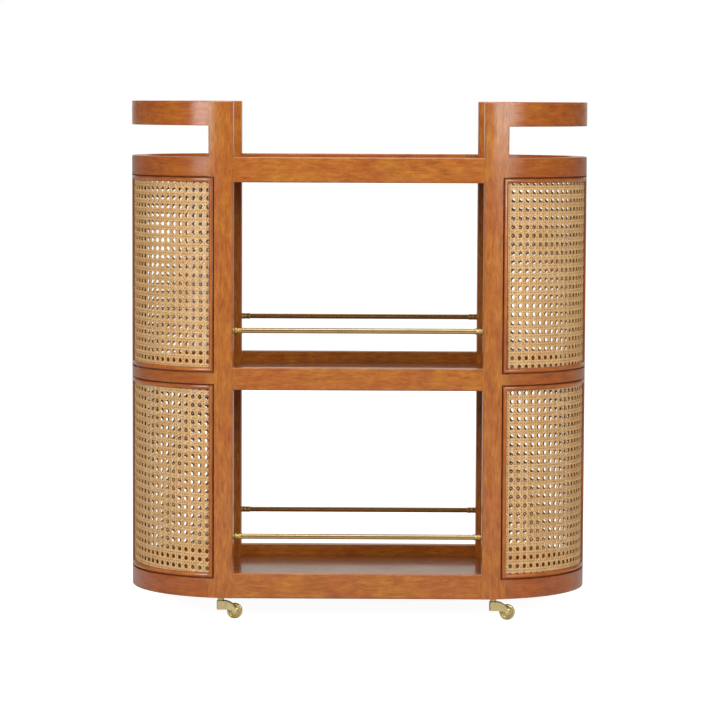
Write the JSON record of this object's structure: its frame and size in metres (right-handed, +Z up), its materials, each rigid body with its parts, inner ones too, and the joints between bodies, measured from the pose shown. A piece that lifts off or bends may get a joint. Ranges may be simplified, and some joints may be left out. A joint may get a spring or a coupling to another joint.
{
  "type": "bar cart",
  "caption": "Wooden bar cart with half-round ends, woven cane end panels, open shelves, a recessed tray top, curved handles, brass gallery rods and swivel casters.",
  "frame": {"origin": "on the floor, under the middle of the cart", "axes": "+Z up, X along the cart between its half-round ends, -Y towards the front"},
  "size_m": [0.838, 0.406, 0.9335],
  "materials": {
    "wood": "satin lacquer over warm brown hardwood",
    "cane": "natural woven cane, matte",
    "brass": "satin brass"
  },
  "bodies": {
    "cart": {"base_bands": "wood", "base_rail_front": "wood", "base_rail_rear": "wood", "base_shelf": "wood", "beads_lower": "wood", "beads_upper": "wood", "cane_lower": "cane", "cane_upper": "cane", "end_stiles_lower": "wood", "end_stiles_upper": "wood", "gallery_ferrules": "brass", "gallery_rod_base_front": "brass", "gallery_rod_base_rear": "brass", "gallery_rod_mid_front": "brass", "gallery_rod_mid_rear": "brass", "handles": "wood", "mid_bands": "wood", "mid_rail_front": "wood", "mid_rail_rear": "wood", "mid_shelf": "wood", "post_front_left": "wood", "post_front_right": "wood", "post_rear_left": "wood", "post_rear_right": "wood", "top_bands": "wood", "top_rail_front": "wood", "top_rail_rear": "wood", "top_shelf": "wood"},
    "caster_front_left": {"caster_horn_front_left": "brass"},
    "wheel_front_left": {"caster_wheel_front_left": "brass"},
    "caster_front_right": {"caster_horn_front_right": "brass"},
    "wheel_front_right": {"caster_wheel_front_right": "brass"},
    "caster_rear_left": {"caster_horn_rear_left": "brass"},
    "wheel_rear_left": {"caster_wheel_rear_left": "brass"},
    "caster_rear_right": {"caster_horn_rear_right": "brass"},
    "wheel_rear_right": {"caster_wheel_rear_right": "brass"}
  },
  "joints": [
    {"name": "swivel_front_left", "type": "hinge", "parent": "cart", "child": "caster_front_left", "pos_m": [-0.2465, -0.178, 0.04], "axis": [0, 0, 1], "continuous": true},
    {"name": "roll_front_left", "type": "hinge", "parent": "caster_front_left", "child": "wheel_front_left", "pos_m": [-0.2215, -0.178, 0.014], "axis": [0, 1, 0], "continuous": true},
    {"name": "swivel_front_right", "type": "hinge", "parent": "cart", "child": "caster_front_right", "pos_m": [0.2465, -0.178, 0.04], "axis": [0, 0, 1], "continuous": true},
    {"name": "roll_front_right", "type": "hinge", "parent": "caster_front_right", "child": "wheel_front_right", "pos_m": [0.2715, -0.178, 0.014], "axis": [0, 1, 0], "continuous": true},
    {"name": "swivel_rear_left", "type": "hinge", "parent": "cart", "child": "caster_rear_left", "pos_m": [-0.2465, 0.178, 0.04], "axis": [0, 0, 1], "continuous": true},
    {"name": "roll_rear_left", "type": "hinge", "parent": "caster_rear_left", "child": "wheel_rear_left", "pos_m": [-0.2215, 0.178, 0.014], "axis": [0, 1, 0], "continuous": true},
    {"name": "swivel_rear_right", "type": "hinge", "parent": "cart", "child": "caster_rear_right", "pos_m": [0.2465, 0.178, 0.04], "axis": [0, 0, 1], "continuous": true},
    {"name": "roll_rear_right", "type": "hinge", "parent": "caster_rear_right", "child": "wheel_rear_right", "pos_m": [0.2715, 0.178, 0.014], "axis": [0, 1, 0], "continuous": true}
  ]
}
